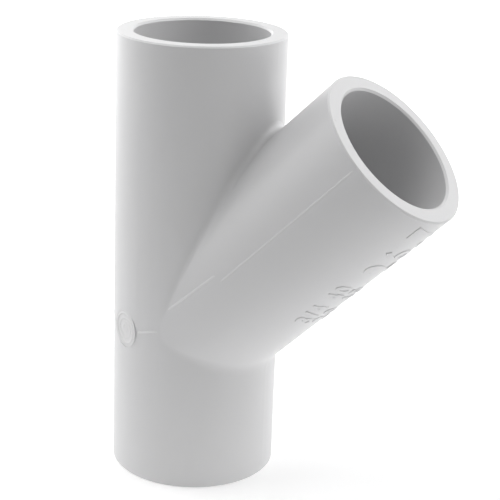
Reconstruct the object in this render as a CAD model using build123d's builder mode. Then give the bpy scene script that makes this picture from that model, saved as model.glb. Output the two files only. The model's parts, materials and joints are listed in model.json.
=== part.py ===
"""Lateral wye fitting: a one-piece moulded plastic 45 degree pipe branch.

A straight run carries a branch of nearly the same size that leaves it at 45
degrees. All three ends are solvent-weld sockets: a plain square-cut rim, a
lead-in, a short parallel entry, a slightly tapered wall and a stop ledge that
the pipe's end meets. Behind the ledges the bores meet in one waterway.

Frame, in millimetres: the origin is on the run's axis at the lower mouth, so
the fitting stands on its lower rim at z = 0. +Z goes up the run, and the branch
leans from the run's middle towards +X.
"""

import os
from math import cos, pi, radians, sin

from build123d import *

# ---------------------------------------------------------------- outside sizes
run_outer_radius = 16.9  # outside of the run, 33.8 mm across
branch_outer_radius = run_outer_radius - 0.1  # a hair smaller, so the run's wall shows past it
branch_angle = 45.0  # degrees between the branch and the upper run
lower_leg = 31.6  # lower mouth to the point where the two axes cross
upper_leg = 59.3  # axis crossing to the upper mouth
branch_leg = 59.9  # axis crossing to the branch mouth

# -------------------------------------------------------------- socket and bores
socket_depth = 18.3  # rim to stop ledge
entry_radius = 13.437  # short parallel stretch behind the lead-in, 26.87 mm across
entry_length = 3.0
seat_radius = 13.284  # narrow end of the taper, at the ledge, 26.57 mm across
lead_in = 0.4  # chamfer from the rim's face into the entry
stop_ledge = 2.4  # the width of the ledge the pipe's end meets
waterway_radius = seat_radius - stop_ledge
ledge_chamfer = 0.5  # on the ledge's inner edge

# ------------------------------------------------------- blends and broken edges
crotch_fillet = 1.2  # in the acute upper corner
heel_fillet = 5.0  # in the wide lower corner
rim_break = 0.3  # chamfer on the outer edge of each rim

# -------------------------------------------------------- gate mark on the run
gate_turn = -27.0  # degrees round the run from -Y towards -X
gate_radius = 3.9  # the round stub left where the gate was cut
gate_face = run_outer_radius - 0.15  # distance of its flat face from the run's axis

# ---------------------------------------------------------- sizes that follow
run_length = lower_leg + upper_leg
lean = radians(branch_angle)

os.makedirs("parts", exist_ok=True)

axis_crossing = Vector(0, 0, lower_leg)
lower_mouth = Location((0, 0, 0), (180, 0, 0))  # +Z of each mouth points out of it
upper_mouth = Location((0, 0, run_length))
branch_mouth = Location(
    (branch_leg * sin(lean), 0, lower_leg + branch_leg * cos(lean)), (0, branch_angle, 0)
)


def outside(blend_radius):
    """The two outer cylinders as one solid, with one fillet radius all round where they meet."""
    with BuildPart() as form:
        Cylinder(run_outer_radius, run_length, align=(Align.CENTER, Align.CENTER, Align.MIN))
        with Locations(Location(axis_crossing, (0, branch_angle, 0))):
            Cylinder(branch_outer_radius, branch_leg, align=(Align.CENTER, Align.CENTER, Align.MIN))
        crease = [e for e in form.edges() if e.geom_type not in (GeomType.CIRCLE, GeomType.LINE)]
        fillet(crease, blend_radius)
    return form.part


# The blend is tight in the upper corner and wide in the lower one. The plane of
# the branch's axis, where the branch stands proud of the run by next to nothing,
# parts the two: above it, what the tight blend leaves open is cut from the wide one.
tight_form = outside(crotch_fillet)
wide_form = outside(heel_fillet)
with BuildPart() as crotch_space:
    with Locations(Location(axis_crossing, (0, branch_angle - 90, 0))):
        Box(
            2 * (upper_leg + branch_leg),
            4 * run_outer_radius,
            upper_leg + branch_leg,
            align=(Align.CENTER, Align.CENTER, Align.MIN),
        )
    add(tight_form, mode=Mode.SUBTRACT)


# The socket pocket is one turned profile: radius against depth from the rim.
def socket_profile():
    """Half section of a socket pocket, to be turned about +Z; its mouth is at z = 0 and it goes down."""
    points = [
        (0, 1),
        (entry_radius + lead_in, 1),
        (entry_radius + lead_in, 0),
        (entry_radius, -lead_in),
        (entry_radius, -(lead_in + entry_length)),
        (seat_radius, -socket_depth),
        (waterway_radius + ledge_chamfer, -socket_depth),
        (waterway_radius, -(socket_depth + ledge_chamfer)),
        (0, -(socket_depth + ledge_chamfer)),
    ]
    return Polyline(*points, close=True)


with BuildPart() as socket_pocket:
    with BuildSketch(Plane.XZ):
        with BuildLine():
            socket_profile()
        make_face()
    revolve(axis=Axis.Z)

with BuildPart() as fitting_body:
    add(wide_form)
    add(crotch_space.part, mode=Mode.SUBTRACT)

    # gate mark: a low round stub on the run, level with the axis crossing, sheared
    # flat a little under the run's crown, so its sides stand proud and its middle doesn't
    with Locations(Location(axis_crossing, (0, 0, gate_turn)) * Location((0, -gate_face, 0), (90, 0, 0))):
        Cylinder(gate_radius, gate_face / 2, align=(Align.CENTER, Align.CENTER, Align.MAX))
        Cylinder(
            gate_radius,
            run_outer_radius,
            align=(Align.CENTER, Align.CENTER, Align.MIN),
            mode=Mode.SUBTRACT,
        )

    # broken outer edge of each rim
    rims = [
        e
        for e in fitting_body.edges().filter_by(GeomType.CIRCLE)
        if min(abs(e.radius - run_outer_radius), abs(e.radius - branch_outer_radius)) < 1e-4
        and e.length > 1.9 * pi * branch_outer_radius
    ]
    chamfer(rims, rim_break)

    # waterway, then a socket into each end
    Cylinder(
        waterway_radius,
        run_length,
        align=(Align.CENTER, Align.CENTER, Align.MIN),
        mode=Mode.SUBTRACT,
    )
    with Locations(Location(axis_crossing, (0, branch_angle, 0))):
        Cylinder(
            waterway_radius,
            branch_leg,
            align=(Align.CENTER, Align.CENTER, Align.MIN),
            mode=Mode.SUBTRACT,
        )
    with Locations(lower_mouth, upper_mouth, branch_mouth):
        add(socket_pocket.part, mode=Mode.SUBTRACT)

fitting_body.part.label = "fitting_body"
export_step(fitting_body.part, "parts/fitting_body.step")
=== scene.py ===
"""Dresses the lateral wye fitting, one white moulded plastic piece.

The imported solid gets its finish. Mould seams, the gate mark's rings and raised size figures are added
as fine meshes. A plain studio holds the camera, the floor and the soft lamps.
"""

import bmesh
import bpy
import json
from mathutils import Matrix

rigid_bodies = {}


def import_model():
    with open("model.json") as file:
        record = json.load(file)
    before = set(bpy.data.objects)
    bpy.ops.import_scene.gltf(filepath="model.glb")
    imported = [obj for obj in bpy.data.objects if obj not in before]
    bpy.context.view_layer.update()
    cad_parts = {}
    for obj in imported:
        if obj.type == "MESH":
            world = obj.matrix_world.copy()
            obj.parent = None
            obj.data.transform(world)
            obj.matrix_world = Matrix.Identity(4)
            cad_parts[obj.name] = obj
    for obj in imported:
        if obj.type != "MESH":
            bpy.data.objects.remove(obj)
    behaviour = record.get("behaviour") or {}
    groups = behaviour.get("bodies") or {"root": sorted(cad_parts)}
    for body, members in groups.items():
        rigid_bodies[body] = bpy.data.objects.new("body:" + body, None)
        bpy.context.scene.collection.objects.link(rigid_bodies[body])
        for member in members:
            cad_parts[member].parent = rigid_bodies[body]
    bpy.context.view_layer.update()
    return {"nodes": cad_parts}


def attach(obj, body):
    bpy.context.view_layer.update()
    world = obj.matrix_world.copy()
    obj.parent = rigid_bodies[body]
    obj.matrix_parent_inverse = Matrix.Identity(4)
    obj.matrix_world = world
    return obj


for leftover in list(bpy.data.objects):
    bpy.data.objects.remove(leftover)
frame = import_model()

import json
import logging
import math
from dataclasses import dataclass, field
from enum import Enum
from typing import Any, Callable, Tuple, Union

import numpy as np
from mathutils import Matrix, Vector

LOG = logging.getLogger("wye_fitting")
MM = 0.001
Number = Union[int, float]


# ---------------------------------------------------------------------------
# Shader building
# ---------------------------------------------------------------------------
class Wire:
    """Wraps one output socket, so that shader maths is written as Python expressions."""

    def __init__(self, shop: "NodeShop", socket: bpy.types.NodeSocket) -> None:
        """Keep the socket and the tree builder it came from.

        Args:
            shop: The builder that adds nodes to the same tree.
            socket: The output socket that carries the value.
        """
        self.shop = shop
        self.socket = socket

    def _with(self, operation: str, *others: Union["Wire", Number], first: bool = True) -> "Wire":
        """Add one Math node.

        Args:
            operation: The Math node's operation.
            *others: The other operands.
            first: Whether this wire is the first operand.

        Returns:
            The node's result.
        """
        operands = (self, *others) if first else (*others, self)
        return self.shop.add("ShaderNodeMath", {"operation": operation}, dict(enumerate(operands)))

    def __add__(self, other: Union["Wire", Number]) -> "Wire":
        """Sum."""
        return self._with("ADD", other)

    __radd__ = __add__

    def __sub__(self, other: Union["Wire", Number]) -> "Wire":
        """Difference."""
        return self._with("SUBTRACT", other)

    def __rsub__(self, other: Number) -> "Wire":
        """Reflected difference."""
        return self._with("SUBTRACT", other, first=False)

    def __mul__(self, other: Union["Wire", Number]) -> "Wire":
        """Product."""
        return self._with("MULTIPLY", other)

    __rmul__ = __mul__

    def clamp(self) -> "Wire":
        """Limit to the range 0 to 1.

        Returns:
            The limited value.
        """
        return self.shop.add("ShaderNodeClamp", {}, {0: self, 1: 0.0, 2: 1.0})

    def step(self, low: float, high: float) -> "Wire":
        """Smooth step from 0 at low to 1 at high.

        Args:
            low: The value that gives 0.
            high: The value that gives 1.

        Returns:
            The stepped value.
        """
        settings = {"interpolation_type": "SMOOTHSTEP"}
        values = {0: self, 1: low, 2: high, 3: 0.0, 4: 1.0}
        return self.shop.add("ShaderNodeMapRange", settings, values)


class NodeShop:
    """Adds nodes to one material or world tree."""

    def __init__(self, tree: bpy.types.NodeTree) -> None:
        """Empty the tree and keep it.

        Args:
            tree: The node tree to fill.
        """
        self.tree = tree
        tree.nodes.clear()

    def add(self, kind: str, settings: dict, values: dict, out: Union[int, str] = 0) -> Wire:
        """Add any node: settings first, then the values or links of its sockets.

        Args:
            kind: The node's type name.
            settings: Node properties by name.
            values: Socket values or wires by socket index or name.
            out: The output socket to return.

        Returns:
            The chosen output as a Wire.
        """
        node = self.tree.nodes.new(kind)
        for name, value in settings.items():
            setattr(node, name, value)
        for key, value in values.items():
            if isinstance(value, Wire):
                self.tree.links.new(value.socket, node.inputs[key])
            else:
                node.inputs[key].default_value = value
        return Wire(self, node.outputs[out] if len(node.outputs) else None)

    def mix(self, factor: Union[Wire, float], a: Any, b: Any) -> Wire:
        """Blend two colours.

        Args:
            factor: 0 gives a, 1 gives b.
            a: First colour, a 4-tuple or a wire.
            b: Second colour, a 4-tuple or a wire.

        Returns:
            The blended colour.
        """
        return self.add("ShaderNodeMix", {"data_type": "RGBA"}, {0: factor, 6: a, 7: b}, out=2)

    def noise(self, place: Wire, scale: float, detail: float = 3.0, rough: float = 0.5) -> Wire:
        """Fractal noise value around 0.5 at a place.

        Args:
            place: The coordinates.
            scale: Features per metre.
            detail: Octaves.
            rough: Weight of the finer octaves.

        Returns:
            The noise value.
        """
        values = {"Vector": place, "Scale": scale, "Detail": detail, "Roughness": rough}
        return self.add("ShaderNodeTexNoise", {}, values, out="Fac")


# ---------------------------------------------------------------------------
# Sizes
# ---------------------------------------------------------------------------
@dataclass(frozen=True)
class FittingSizes:
    """The fitting's sizes in metres, the same as those its solid was made from."""

    run_radius: float = 16.9 * MM
    branch_radius: float = 16.8 * MM
    lean: float = math.radians(45.0)
    lower_leg: float = 31.6 * MM
    branch_leg: float = 59.9 * MM
    gate_turn: float = math.radians(-27.0)
    gate_radius: float = 3.9 * MM
    gate_face: float = 16.75 * MM

    @property
    def crossing(self) -> np.ndarray:
        """Where the run's axis and the branch's axis cross."""
        return np.array([0.0, 0.0, self.lower_leg])

    @property
    def branch_axis(self) -> np.ndarray:
        """Unit vector from the crossing to the branch's mouth."""
        return np.array([math.sin(self.lean), 0.0, math.cos(self.lean)])

    @property
    def branch_under(self) -> np.ndarray:
        """Unit vector square to the branch's axis, towards its underside."""
        return np.array([math.cos(self.lean), 0.0, -math.sin(self.lean)])

    def on_run(self, turn: np.ndarray, height: np.ndarray, lift: np.ndarray) -> np.ndarray:
        """Points on the run: turn round the axis from -Y towards +X, height over the crossing.

        Args:
            turn: Angles in radians.
            height: Heights over the axis crossing.
            lift: Heights over the run's surface.

        Returns:
            Points, with a last axis of x, y, z.
        """
        reach = self.run_radius + lift
        return np.stack(
            [reach * np.sin(turn), -reach * np.cos(turn), self.lower_leg + height], axis=-1
        )

    def on_branch(self, turn: np.ndarray, along: np.ndarray, lift: np.ndarray) -> np.ndarray:
        """Points on the branch: turn round its axis from -Y towards its underside.

        Args:
            turn: Angles in radians.
            along: Distance from the crossing along the branch's axis.
            lift: Heights over the branch's surface.

        Returns:
            Points, with a last axis of x, y, z.
        """
        reach = self.branch_radius + lift
        return (
            self.crossing
            + along[..., None] * self.branch_axis
            + (reach * np.sin(turn))[..., None] * self.branch_under
            + (-reach * np.cos(turn))[..., None] * np.array([0.0, 1.0, 0.0])
        )


# ---------------------------------------------------------------------------
# Meshes
# ---------------------------------------------------------------------------
PROFILE_POINTS = 9  # across the top of a ribbon
FADE_STEPS = 14.0  # over which a ribbon's end falls away
EDGE_SINK = 0.25  # share of the sink depth by which a ribbon's edges go under the surface
END_SINK = 0.3  # share of the sink depth that its ends reach
NEARLY = 0.99  # parts the closed underside from the top


def smooth(share: np.ndarray) -> np.ndarray:
    """Smooth step: the share s limited to 0 to 1, then s * s * (3 - 2 s).

    Args:
        share: The values to ease.

    Returns:
        The eased values.
    """
    s = np.clip(share, 0.0, 1.0)
    return s * s * (3.0 - 2.0 * s)


def surface(name: str, grid: np.ndarray, wrap_v: bool = False) -> bpy.types.Object:
    """Make a piece from a grid of points, with one quad between each four neighbours.

    Args:
        name: The piece's name.
        grid: Points as rows, columns, xyz.
        wrap_v: Whether the last column joins the first.

    Returns:
        The new object, smooth shaded.
    """
    rows, columns = grid.shape[:2]
    u = np.arange(rows - 1)
    v = np.arange(columns if wrap_v else columns - 1)
    a, b = np.meshgrid(u, v, indexing="ij")
    a2, b2 = a + 1, (b + 1) % columns
    quads = np.stack([a * columns + b, a2 * columns + b, a2 * columns + b2, a * columns + b2], -1)
    return mesh_piece(name, grid.reshape(-1, 3), quads.reshape(-1, 4))


def mesh_piece(name: str, points: np.ndarray, faces: np.ndarray) -> bpy.types.Object:
    """Put points and faces of one size into a new object at the origin.

    Args:
        name: The piece's name.
        points: Points as rows of xyz.
        faces: Point numbers, one row a face.

    Returns:
        The new object, smooth shaded.
    """
    mesh = bpy.data.meshes.new(name)
    mesh.from_pydata(points.tolist(), [], faces.tolist())
    mesh.polygons.foreach_set("use_smooth", np.ones(len(faces), dtype=bool))
    mesh.update()
    piece = bpy.data.objects.new(name, mesh)
    bpy.context.scene.collection.objects.link(piece)
    return piece


def faces_out(piece: bpy.types.Object) -> None:
    """Merge doubled points and turn every face outwards.

    Args:
        piece: The object to mend.
    """
    work = bmesh.new()
    work.from_mesh(piece.data)
    bmesh.ops.remove_doubles(work, verts=work.verts, dist=1e-7)
    bmesh.ops.recalc_face_normals(work, faces=work.faces)
    work.to_mesh(piece.data)
    work.free()


def ribbon(
    name: str, place: Callable[[np.ndarray, np.ndarray, np.ndarray], np.ndarray],
    turn: np.ndarray, along: np.ndarray, across: Tuple[np.ndarray, np.ndarray],
    width: float, height: float, sink: float,
) -> bpy.types.Object:
    """A fine raised line: a low round-topped profile carried along a path on a cylinder.

    Across the width, w from -1 to 1, the top stands height * (1 - w^2) - EDGE_SINK * sink * w^2
    over the surface. The closed underside is at -sink. Towards each end the top falls to
    -END_SINK * sink over FADE_STEPS steps.

    Args:
        name: The piece's name.
        place: Gives points from turn, along and lift.
        turn: The path's angles.
        along: The path's distances along the axis.
        across: The direction of the line's width, as change of turn and change of along.
        width: The line's full width.
        height: Its height over the surface.
        sink: How far its closed underside goes below the surface.

    Returns:
        The line as a closed mesh.
    """
    w = np.linspace(-1.0, 1.0, PROFILE_POINTS)
    top = height * (1.0 - w**2) - EDGE_SINK * sink * w**2
    offset = np.concatenate([w, w[::-1]])
    lift = np.concatenate([top, np.full(PROFILE_POINTS, -sink)])[None, :]
    steps = np.arange(turn.size)
    fade = smooth(np.minimum(steps, steps[::-1]) / FADE_STEPS)[:, None]
    faded = lift * fade - END_SINK * sink * (1.0 - fade)
    rise = np.where(lift > -sink * NEARLY, faded, -sink)
    t = turn[:, None] + 0.5 * width * offset[None, :] * across[0][:, None]
    s = along[:, None] + 0.5 * width * offset[None, :] * across[1][:, None]
    grid = place(t, s, rise)
    piece = surface(name, grid, wrap_v=True)
    cap_ends(piece, grid.shape[0], grid.shape[1])
    faces_out(piece)
    return piece


def cap_ends(piece: bpy.types.Object, rows: int, columns: int) -> None:
    """Close a tube-like grid with one face at each end.

    Args:
        piece: The object made by surface with wrap_v.
        rows: Number of sections.
        columns: Points in each section.
    """
    work = bmesh.new()
    work.from_mesh(piece.data)
    work.verts.ensure_lookup_table()
    work.faces.new([work.verts[i] for i in range(columns)])
    work.faces.new([work.verts[(rows - 1) * columns + i] for i in range(columns)][::-1])
    work.to_mesh(piece.data)
    work.free()


# ---------------------------------------------------------------------------
# Finishes
# ---------------------------------------------------------------------------
class Tone(Enum):
    """Named base colours of the moulded plastic, linear RGBA."""

    BODY = (0.655, 0.656, 0.666, 1.0)
    BODY_WARM = (0.672, 0.662, 0.650, 1.0)
    SEAM = (0.730, 0.730, 0.738, 1.0)
    GATE = (0.680, 0.680, 0.686, 1.0)
    SPECK = (0.42, 0.41, 0.39, 1.0)


CLOUD_SCALE = 38.0  # features per metre of the broad clouding
STREAK_SCALES = (260.0, 260.0, 34.0)  # the same for the flow streaks, drawn out along the run
FINE_SCALE = 620.0
GRAIN_SCALE = 2600.0
SPECK_SCALE = 190.0
SPECK_PATCH_SCALE = 95.0
SPECK_TINT = 0.16  # how far a speck's colour goes towards Tone.SPECK
SKIN_DEPTH = 0.12 * MM  # depth of the bump at full strength
PLASTIC_IOR = 1.53


@dataclass(frozen=True)
class MouldedPlastic:
    """Semi-gloss white moulded plastic: faint flow clouding, fine skin texture and a few specks."""

    name: str = "body_plastic"
    base: Tone = Tone.BODY
    cloud: float = 0.35
    roughness: float = 0.36
    skin: float = 0.10

    def build(self) -> bpy.types.Material:
        """Make the material.

        The base colour drifts towards a warmer one with broad clouding and streaks. Roughness
        follows the fine noise and the streaks, and the skin's bump sums all three and dips at specks.

        Returns:
            The finished material.
        """
        material = bpy.data.materials.new(self.name)
        material.use_nodes = True
        shop = NodeShop(material.node_tree)
        place = shop.add("ShaderNodeTexCoord", {}, {}, out="Object")
        broad = shop.noise(place, CLOUD_SCALE, 2.0)
        streak_place = shop.add("ShaderNodeMapping", {}, {0: place, "Scale": STREAK_SCALES})
        streak = shop.noise(streak_place, 1.0, 3.0, 0.55)
        grain = shop.noise(place, GRAIN_SCALE, 2.0, 0.6)
        fine = shop.noise(place, FINE_SCALE, 3.0, 0.5)
        speck_values = {"Vector": place, "Scale": SPECK_SCALE}
        specks = shop.add("ShaderNodeTexVoronoi", {}, speck_values, out="Distance")
        speck = 1.0 - specks.step(0.035, 0.075)
        rare = shop.noise(place, SPECK_PATCH_SCALE, 0.0).step(0.60, 0.66)
        mark = speck * rare
        clouding = ((broad - 0.5) * 0.8 + (streak - 0.5) * 0.45 + 0.5).clamp() * self.cloud
        base = shop.mix(clouding, self.base.value, Tone.BODY_WARM.value)
        base = shop.mix(mark * SPECK_TINT, base, Tone.SPECK.value)
        rough = ((fine - 0.5) * 0.10 + (streak - 0.5) * 0.08 + self.roughness).clamp()
        skin = grain * 0.35 + fine * 0.65 + streak * 0.25 - mark * 0.4
        bump_values = {"Strength": self.skin, "Distance": SKIN_DEPTH, "Height": skin}
        bump = shop.add("ShaderNodeBump", {}, bump_values)
        values = {"Base Color": base, "Roughness": rough, "IOR": PLASTIC_IOR, "Normal": bump}
        plastic = shop.add("ShaderNodeBsdfPrincipled", {}, values)
        shop.add("ShaderNodeOutputMaterial", {}, {0: plastic})
        return material


def dress(piece: bpy.types.Object, material: bpy.types.Material) -> bpy.types.Object:
    """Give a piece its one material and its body.

    Args:
        piece: The object.
        material: Its finish.

    Returns:
        The same object.
    """
    piece.data.materials.clear()
    piece.data.materials.append(material)
    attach(piece, "root")
    LOG.info("piece %s: %d faces", piece.name, len(piece.data.polygons))
    return piece


# ---------------------------------------------------------------------------
# Sub-assemblies
# ---------------------------------------------------------------------------
@dataclass
class MouldedBody:
    """The one-piece body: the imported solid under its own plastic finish."""

    finish: MouldedPlastic = field(default_factory=MouldedPlastic)

    def build(self) -> None:
        """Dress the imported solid."""
        node = frame["nodes"]["fitting_body"]
        material = self.finish.build()
        for place in node.material_slots:
            place.material = material
        LOG.info("body: %d points", len(node.data.vertices))


@dataclass(frozen=True)
class SeamStretch:
    """One stretch of a flank's seam: where it starts and ends along the branch, in metres.

    First and last are its angles in degrees at those two ends. Scale widens it, and steps are
    its sections.
    """

    name: str
    start: float
    end: float
    first: float
    last: float
    scale: float
    steps: int


@dataclass
class MouldSeams:
    """Fine raised lines where the mould's halves met, on the branch's flanks and round the run."""

    sizes: FittingSizes = field(default_factory=FittingSizes)
    finish: MouldedPlastic = MouldedPlastic("seam_plastic", Tone.SEAM, 0.15, 0.42, 0.05)
    width: float = 0.36 * MM
    height: float = 0.055 * MM
    sink: float = 0.08 * MM

    def _on_branch(self, material: bpy.types.Material, side: int) -> None:
        """The two stretches along one flank of the branch.

        The outer one keeps to the flank's crest. The inner one, nearer the run, lies a few
        degrees towards the crotch and leans further as it nears the run: its angle is a
        straight function of the distance along the axis. Both fade out where they pass.

        Args:
            material: The finish.
            side: 1 for the flank at -Y, -1 for the one at +Y.
        """
        z = self.sizes
        flank = "front" if side > 0 else "back"
        r = z.run_radius
        stretches = (
            SeamStretch("outer", 1.24 * r, z.branch_leg - 0.25 * MM, 0.0, 0.0, 1.0, 260),
            SeamStretch("inner", 0.40 * r, 1.30 * r, -8.2, -5.2, 1.5, 110),
        )
        for part in stretches:
            along = np.linspace(part.start, part.end, part.steps)
            share = (along - part.start) / (part.end - part.start)
            turn = np.radians(part.first + (part.last - part.first) * share)
            if side < 0:
                turn = math.pi - turn
            across = (np.full(along.size, 1.0 / z.branch_radius), np.zeros(along.size))
            height = self.height * (1.0 + 0.4 * (part.scale - 1.0))
            piece = ribbon(
                f"branch_seam_{part.name}_{flank}", z.on_branch, turn, along, across,
                self.width * part.scale, height, self.sink,
            )
            dress(piece, material)

    def _round_run(self, material: bpy.types.Material) -> None:
        """The line round the run, a little over the crossing, from the gate mark to each flank.

        It lies 0.03 run radii over the crossing, and rises by a smooth step to 0.10 at each flank.

        Args:
            material: The finish.
        """
        z = self.sizes
        gate_edge = math.asin(z.gate_radius / z.run_radius) + 0.010
        front_flank, back_flank = math.radians(5.0), math.radians(-185.0)
        rise_turn = 0.35
        stretches = {
            "run_seam_front": (z.gate_turn + gate_edge, front_flank, 60),
            "run_seam_back": (z.gate_turn - gate_edge, back_flank, 240),
        }
        for name, (start, end, count) in stretches.items():
            turn = np.linspace(start, end, count)
            gap = np.minimum(np.abs(turn - front_flank), np.abs(turn - back_flank))
            near = smooth(1.0 - gap / rise_turn)
            height = z.run_radius * (0.03 + 0.07 * near)
            across = (np.zeros(turn.size), np.ones(turn.size))
            piece = ribbon(
                name, z.on_run, turn, height, across, self.width * 1.5, self.height * 1.2, self.sink
            )
            dress(piece, material)

    def build(self) -> None:
        """Make all the seam lines."""
        material = self.finish.build()
        for side in (1, -1):
            self._on_branch(material, side)
        self._round_run(material)


@dataclass
class GateMark:
    """The turned face of the sheared gate stub: fine rings round a shallow dimple."""

    sizes: FittingSizes = field(default_factory=FittingSizes)
    finish: MouldedPlastic = MouldedPlastic("gate_plastic", Tone.GATE, 0.2, 0.45, 0.2)
    ring_height: float = 0.10 * MM
    skim: float = 0.012 * MM  # keeps the face clear of the solid's flat
    edge: float = 0.985  # the face's reach over the stub's radius
    dip: float = 0.02 * MM  # how far its edge goes under the flat
    rings: Tuple[Tuple[float, float, float], ...] = (  # reach, width and height as shares
        (0.80, 0.05, 1.0),
        (0.52, 0.05, 0.9),
        (0.20, 0.06, 0.7),
    )

    def build(self) -> None:
        """Make the ringed face.

        The height over the stub's flat is a sum of three narrow bell shapes,
        exp(-((reach - ring's reach) / width)^2) times the ring's height.
        """
        z = self.sizes
        reach = np.linspace(0.0, self.edge, 60)
        turns = np.linspace(0.0, 2 * math.pi, 72, endpoint=False)
        rings = sum(np.exp(-(((reach - r) / w) ** 2)) * h for r, w, h in self.rings)
        height = self.ring_height * rings + self.skim
        height[-1] = -self.dip
        outward = np.array([math.sin(z.gate_turn), -math.cos(z.gate_turn), 0.0])
        sideways = np.array([math.cos(z.gate_turn), math.sin(z.gate_turn), 0.0])
        upward = np.array([0.0, 0.0, 1.0])
        centre = z.crossing + outward * z.gate_face
        r = (reach * z.gate_radius)[:, None, None]
        grid = (
            centre
            + r * np.cos(turns)[None, :, None] * sideways
            + r * np.sin(turns)[None, :, None] * upward
            + height[:, None, None] * outward
        )
        piece = surface("gate_face", grid, wrap_v=True)
        faces_out(piece)
        if Vector(outward).dot(piece.data.polygons[len(piece.data.polygons) // 2].normal) < 0:
            piece.data.flip_normals()
        dress(piece, self.finish.build())


@dataclass(frozen=True)
class FigureRow:
    """One row of raised figures.

    Back is its middle's distance from the branch's mouth in run radii. Turn is its angle in
    degrees from -Y towards the underside. Tall is its height in millimetres, and narrow its
    width over the font's own width.
    """

    name: str
    words: str
    back: float
    turn: float
    tall: float
    narrow: float


FIGURE_ROWS: Tuple[FigureRow, ...] = (
    FigureRow("figures_bore", "26.7", 0.57, 75.0, 8.0, 0.68),
    FigureRow("figures_angle", "45", 0.66, 103.0, 4.4, 1.0),
    FigureRow("figures_size", "3/4 40", 1.70, 65.0, 4.2, 0.72),
    FigureRow("figures_number", "20 45", 1.72, 82.0, 4.2, 0.78),
)


@dataclass
class RaisedFigures:
    """Plain raised size figures on the branch's underside, wrapped round its wall."""

    sizes: FittingSizes = field(default_factory=FittingSizes)
    finish: MouldedPlastic = MouldedPlastic("figure_plastic", Tone.BODY, 0.3, 0.36, 0.05)
    rise: float = 0.15 * MM
    foot: float = 0.15 * MM  # how far the figures go on under the wall
    slope: float = 0.12 * MM  # width and height of their bevelled flanks
    stroke_gain: float = 0.06 * MM
    digit_height: float = 0.72  # height of a digit over the font's size
    cuts: int = 16

    def _flat(self, row: FigureRow) -> bpy.types.Mesh:
        """One row of figures, laid flat and cut into strips fine enough to bend.

        Args:
            row: The row.

        Returns:
            The flat mesh.
        """
        curve = bpy.data.curves.new(row.name, "FONT")
        curve.body = row.words
        curve.size = row.tall * MM / self.digit_height
        curve.space_character = 1.25
        curve.extrude = (self.rise + self.foot) / 2
        curve.bevel_depth = self.slope
        curve.bevel_resolution = 1
        curve.offset = self.stroke_gain
        curve.resolution_u = 6
        flat = bpy.data.objects.new(row.name + "_flat", curve)
        bpy.context.scene.collection.objects.link(flat)
        bpy.context.view_layer.update()
        finished = flat.evaluated_get(bpy.context.evaluated_depsgraph_get())
        mesh = bpy.data.meshes.new_from_object(finished)
        bpy.data.objects.remove(flat)
        work = bmesh.new()
        work.from_mesh(mesh)
        bmesh.ops.remove_doubles(work, verts=work.verts, dist=1e-7)
        bmesh.ops.triangulate(work, faces=work.faces)
        low = min(v.co.y for v in work.verts)
        high = max(v.co.y for v in work.verts)
        for cut in np.linspace(low, high, self.cuts)[1:-1]:
            everything = work.verts[:] + work.edges[:] + work.faces[:]
            bmesh.ops.bisect_plane(work, geom=everything, plane_co=(0, cut, 0), plane_no=(0, 1, 0))
        work.to_mesh(mesh)
        work.free()
        return mesh

    def _wrapped(self, row: FigureRow) -> bpy.types.Object:
        """One row of figures, bent round the branch.

        Flat x becomes distance along the axis, flat y becomes arc length round it and
        flat z becomes height over the wall.

        Args:
            row: The row.

        Returns:
            The wrapped figures.
        """
        z = self.sizes
        mesh = self._flat(row)
        co = np.empty(len(mesh.vertices) * 3)
        mesh.vertices.foreach_get("co", co)
        co = co.reshape(-1, 3)
        middle = (co.max(0) + co.min(0)) / 2
        flat_x, flat_y = (co[:, 0] - middle[0]) * row.narrow, co[:, 1] - middle[1]
        lift = co[:, 2] - co[:, 2].max() + self.rise
        turn = math.radians(row.turn) - flat_y / z.branch_radius
        along = z.branch_leg - row.back * z.run_radius + flat_x
        mesh.vertices.foreach_set("co", z.on_branch(turn, along, lift).ravel())
        mesh.name = row.name
        mesh.update()
        piece = bpy.data.objects.new(row.name, mesh)
        bpy.context.scene.collection.objects.link(piece)
        faces_out(piece)
        return piece

    def build(self) -> None:
        """Make the rows of figures."""
        material = self.finish.build()
        for row in FIGURE_ROWS:
            dress(self._wrapped(row), material)


# ---------------------------------------------------------------------------
# Studio
# ---------------------------------------------------------------------------
@dataclass(frozen=True)
class Panel:
    """A square soft lamp.

    Turn is in degrees from the camera's side and rise in degrees over the floor. Away and size
    are in metres, and power is in watts.
    """

    name: str
    turn: float
    rise: float
    away: float
    size: float
    power: float


PANELS: Tuple[Panel, ...] = (
    Panel("left", -100.0, 8.0, 0.62, 0.70, 1.57),
    Panel("left_behind", -140.0, 15.0, 0.62, 0.70, 2.13),
    Panel("left_high", -90.0, 60.0, 0.60, 0.40, 1.35),
    Panel("right", 98.0, 10.0, 0.62, 0.70, 0.62),
    Panel("right_behind", 140.0, 15.0, 0.62, 0.70, 1.35),
    Panel("right_middle", 75.0, 30.0, 0.70, 0.50, 1.12),
    Panel("right_high", 90.0, 55.0, 0.60, 0.40, 0.80),
    Panel("top_behind", 160.0, 66.0, 0.60, 0.55, 0.76),
    Panel("front_high", 0.0, 60.0, 0.60, 0.40, 0.28),
)


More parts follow.
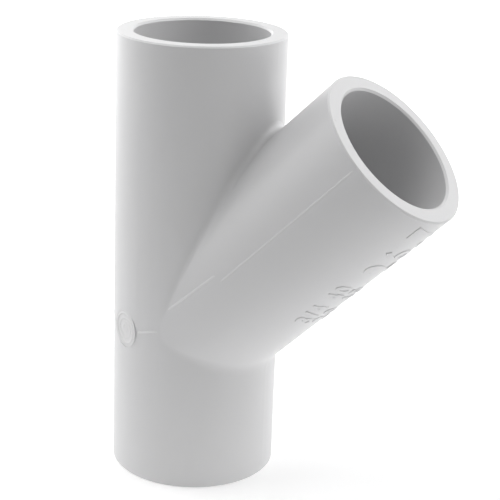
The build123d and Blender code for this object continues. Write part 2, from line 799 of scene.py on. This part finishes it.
@dataclass
class Studio:
    """Pale floor, white surroundings, soft lamps and the camera."""

    sizes: FittingSizes = field(default_factory=FittingSizes)
    turn: float = math.radians(28.6313)
    rise: float = math.radians(18.7375)
    roll: float = math.radians(2.0770)
    distance: float = 18.1195
    shift_side: float = 0.6383
    shift_up: float = 0.8062
    lens: float = 105.96
    aim: Tuple[float, float, float] = (0.012, 0.0, 0.015)  # of the lamps, from the axis crossing
    floor_half: float = 3.0
    paper: float = 0.93  # the floor's reflectance
    near_glow: float = 0.24  # the floor's own white beside the fitting, as the camera sees it
    glow_reach: Tuple[float, float] = (0.10, 0.45)  # metres over which that rises to 1
    disc_glow: float = 0.42  # the light the floor sends up round the fitting
    disc_reach: Tuple[float, float] = (0.06, 0.12)  # metres over which that ends
    ambient: float = 0.03  # the surroundings' strength as light

    def camera(self) -> None:
        """Place the camera from its turn, rise, roll and distance in run radii."""
        a, e, k = self.turn, self.rise, self.roll
        back = np.array([math.sin(a) * math.cos(e), -math.cos(a) * math.cos(e), math.sin(e)])
        right = np.cross(-back, [0, 0, 1])
        right /= np.linalg.norm(right)
        up = np.cross(right, -back)
        r = self.sizes.run_radius
        target = (right * self.shift_side + up * self.shift_up) * r + self.sizes.crossing
        side = math.cos(k) * right + math.sin(k) * up
        top = -math.sin(k) * right + math.cos(k) * up
        data = bpy.data.cameras.new("view")
        data.lens, data.sensor_width = self.lens, 36.0
        data.clip_start, data.clip_end = 0.01, 50.0
        camera = bpy.data.objects.new("view", data)
        bpy.context.scene.collection.objects.link(camera)
        place = Matrix((
            (side[0], top[0], back[0], 0), (side[1], top[1], back[1], 0),
            (side[2], top[2], back[2], 0), (0, 0, 0, 1),
        ))
        place.translation = Vector(target + back * self.distance * r)
        camera.matrix_world = place
        bpy.context.scene.camera = camera

    def floor(self) -> None:
        """A wide floor that shows white to the camera and keeps the object's shadow."""
        ends = (-self.floor_half, self.floor_half)
        grid = np.array([[[x, y, 0.0] for y in ends] for x in ends])
        floor = surface("floor", grid)
        if floor.data.polygons[0].normal.z < 0:
            floor.data.flip_normals()
        material = bpy.data.materials.new("floor_paper")
        material.use_nodes = True
        shop = NodeShop(material.node_tree)
        seen = self._seen(shop)
        paper = shop.add("ShaderNodeBsdfDiffuse", {}, {"Color": (self.paper,) * 3 + (1.0,)})
        spot = shop.add("ShaderNodeTexCoord", {}, {}, out="Object")
        far = shop.add("ShaderNodeVectorMath", {"operation": "LENGTH"}, {0: spot}, out="Value")
        white = far.step(*self.glow_reach) * (1.0 - self.near_glow) + self.near_glow
        glow = shop.add("ShaderNodeEmission", {}, {"Color": (1, 1, 1, 1), "Strength": white})
        disc = (1.0 - far.step(*self.disc_reach)) * self.disc_glow
        light = shop.add("ShaderNodeEmission", {}, {"Color": (1, 1, 1, 1), "Strength": disc})
        lit = shop.add("ShaderNodeMixShader", {}, {0: seen, 1: light, 2: glow})
        both = shop.add("ShaderNodeAddShader", {}, {0: paper, 1: lit})
        shop.add("ShaderNodeOutputMaterial", {}, {0: both})
        floor.data.materials.append(material)

    def world(self) -> None:
        """Even grey light from all round, white to the camera and in reflections."""
        world = bpy.data.worlds.new("surroundings")
        bpy.context.scene.world = world
        world.use_nodes = True
        shop = NodeShop(world.node_tree)
        seen = self._seen(shop)
        grey = {"Color": (1, 1, 1, 1), "Strength": self.ambient}
        light = shop.add("ShaderNodeBackground", {}, grey)
        white = shop.add("ShaderNodeBackground", {}, {"Color": (1, 1, 1, 1), "Strength": 1.0})
        both = shop.add("ShaderNodeMixShader", {}, {0: seen, 1: light, 2: white})
        shop.add("ShaderNodeOutputWorld", {}, {0: both})

    @staticmethod
    def _seen(shop: NodeShop) -> Wire:
        """Find the rays that show the surroundings rather than light the object.

        Args:
            shop: The builder of the tree that needs them.

        Returns:
            1 for rays from the camera, mirrored rays and rays through clear pieces.
        """
        names = ("Is Camera Ray", "Is Glossy Ray", "Is Transmission Ray")
        rays = [shop.add("ShaderNodeLightPath", {}, {}, out=name) for name in names]
        return (rays[0] + rays[1] + rays[2]).clamp()

    def lamps(self) -> None:
        """Hang the soft panels, each aimed a little over the axis crossing."""
        aim = self.sizes.crossing + np.array(self.aim)
        for panel in PANELS:
            data = bpy.data.lights.new(panel.name, "AREA")
            data.shape, data.size, data.energy = "SQUARE", panel.size, panel.power
            lamp = bpy.data.objects.new(panel.name, data)
            bpy.context.scene.collection.objects.link(lamp)
            turn, rise = self.turn + math.radians(panel.turn), math.radians(panel.rise)
            way = np.array(
                [math.sin(turn) * math.cos(rise), -math.cos(turn) * math.cos(rise), math.sin(rise)]
            )
            lamp.location = Vector(aim + way * panel.away)
            lamp.rotation_euler = Vector(way).to_track_quat("Z", "Y").to_euler()

    def build(self) -> None:
        """Make the whole studio."""
        bpy.context.scene.view_settings.view_transform = "Standard"
        self.camera()
        self.floor()
        self.world()
        self.lamps()


def main() -> None:
    """Build every piece in order and report it."""
    logging.basicConfig(level=logging.INFO, format="%(name)s: %(message)s")
    for part in (MouldedBody(), MouldSeams(), GateMark(), RaisedFigures(), Studio()):
        LOG.info("building %s", type(part).__name__)
        part.build()


if __name__ == "__main__":
    main()
